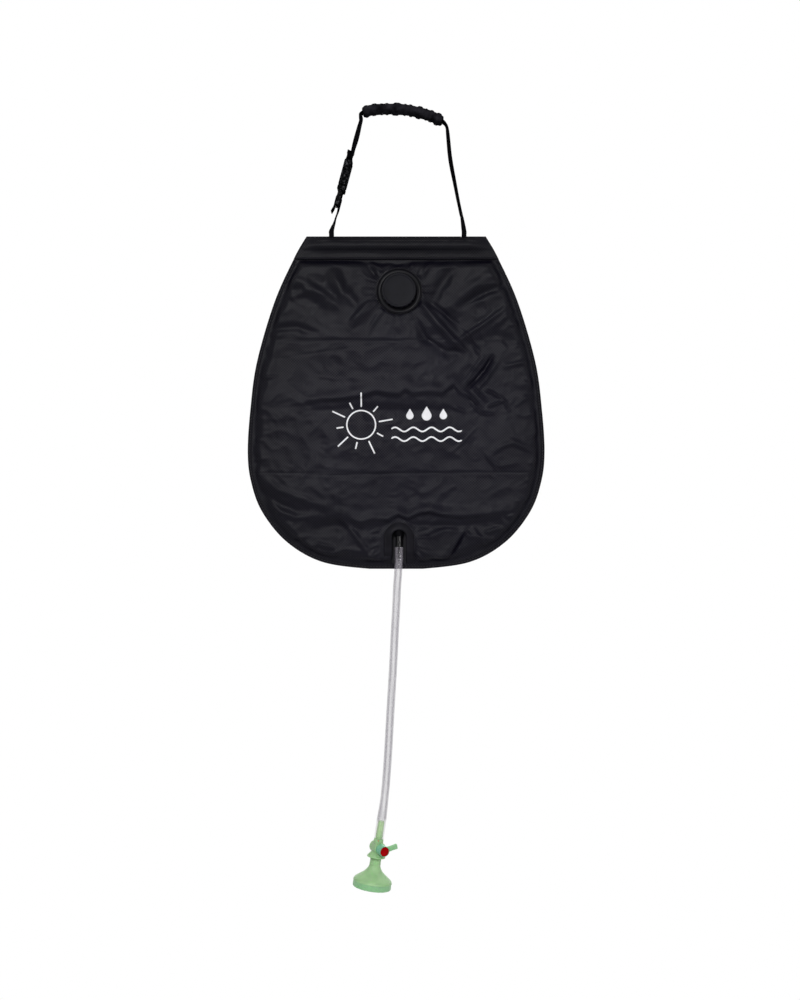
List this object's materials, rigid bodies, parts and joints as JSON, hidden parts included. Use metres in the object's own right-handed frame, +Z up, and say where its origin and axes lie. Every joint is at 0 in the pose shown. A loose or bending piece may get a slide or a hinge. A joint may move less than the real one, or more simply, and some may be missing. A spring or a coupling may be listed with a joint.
{
  "type": "camp shower bag",
  "caption": "Hanging camp shower bag: puffed cloth bag on a buckled webbing handle, with a screw filler cap and a hose that ends in a lever valve and a flared shower head.",
  "frame": {"origin": "underside of the hand grip, straight above the middle of the bag", "axes": "+Z up, +X to the right of someone who faces the front, which looks along -Y"},
  "size_m": [0.401, 0.0576, 1.0581],
  "materials": {
    "bag_cloth": "coated woven cloth, dull sheen",
    "webbing": "matte woven webbing",
    "grip_rubber": "satin",
    "black_rubber": "satin",
    "black_plastic": "satin moulded",
    "clear_vinyl": "clear flexible vinyl",
    "mint_plastic": "cloudy moulded plastic",
    "mint_lever": "moulded plastic",
    "red_plastic": "moulded plastic",
    "seal_rubber": "matte"
  },
  "bodies": {
    "handle": {"handle_grip": "grip_rubber", "strap_main": "webbing", "buckle_socket": "black_plastic", "buckle_frame": "black_plastic", "strap_lower": "webbing"},
    "buckle_prong_front": {"buckle_prong_front": "black_plastic"},
    "buckle_prong_back": {"buckle_prong_back": "black_plastic"},
    "bag": {"top_sleeve": "bag_cloth", "sleeve_piping_front": "bag_cloth", "sleeve_piping_back": "bag_cloth", "hang_tube": "black_plastic", "strap_inner": "webbing", "front_panel": "bag_cloth", "back_panel": "bag_cloth", "edge_binding": "bag_cloth", "filler_flange": "black_rubber", "outlet_flange": "black_rubber", "outlet_spout": "black_plastic", "hose": "clear_vinyl", "valve_body": "mint_plastic"},
    "cap_seal": {"cap_seal": "seal_rubber"},
    "filler_cap": {"filler_cap": "black_plastic"},
    "valve_plug": {"valve_plug": "mint_lever", "indicator_disc": "red_plastic", "plug_oring": "seal_rubber"},
    "head_washer": {"head_washer": "seal_rubber"},
    "head_shell": {"head_shell": "mint_plastic", "rose_plate": "mint_plastic"}
  },
  "joints": [
    {"name": "bag_swing", "type": "hinge", "parent": "handle", "child": "bag", "pos_m": [0, 0, -0.16265], "axis": [1, 0, 0], "range_deg": [-90, 90]},
    {"name": "prong_front", "type": "hinge", "parent": "handle", "child": "buckle_prong_front", "pos_m": [-0.07535, -0.0095, -0.09834], "axis": [0.965, 0, -0.2622], "range_deg": [-8.5, 0], "stiffness_Nm_per_rad": 0.5},
    {"name": "prong_back", "type": "hinge", "parent": "handle", "child": "buckle_prong_back", "pos_m": [-0.07535, 0.0095, -0.09834], "axis": [0.965, 0, -0.2622], "range_deg": [0, 8.5], "stiffness_Nm_per_rad": 0.5},
    {"name": "cap_lift", "type": "slide", "parent": "bag", "child": "cap_seal", "axis": [0, -1, 0], "range_m": [0, 0.006]},
    {"name": "cap_turn", "type": "hinge", "parent": "cap_seal", "child": "filler_cap", "pos_m": [0.0013, -0.015, -0.2405], "axis": [0, -1, 0], "range_deg": [0, 540]},
    {"name": "valve_turn", "type": "hinge", "parent": "bag", "child": "valve_plug", "pos_m": [-0.02745, -0.0145, -0.98727], "axis": [0.4491, -0.891, -0.0663], "range_deg": [-20, 70]},
    {"name": "head_lift", "type": "slide", "parent": "bag", "child": "head_washer", "axis": [-0.1461, 0, -0.9893], "range_m": [0, 0.004]},
    {"name": "head_turn", "type": "hinge", "parent": "head_washer", "child": "head_shell", "pos_m": [-0.03154, -0.0145, -1.01497], "axis": [-0.1461, 0, -0.9893], "range_deg": [0, 720]}
  ],
  "couplings": [
    {"joint": "prong_back", "follows": "prong_front", "ratio": -1},
    {"joint": "cap_turn", "follows": "cap_lift", "rad_per_m": 1570.8},
    {"joint": "head_turn", "follows": "head_lift", "rad_per_m": 3141.6}
  ]
}
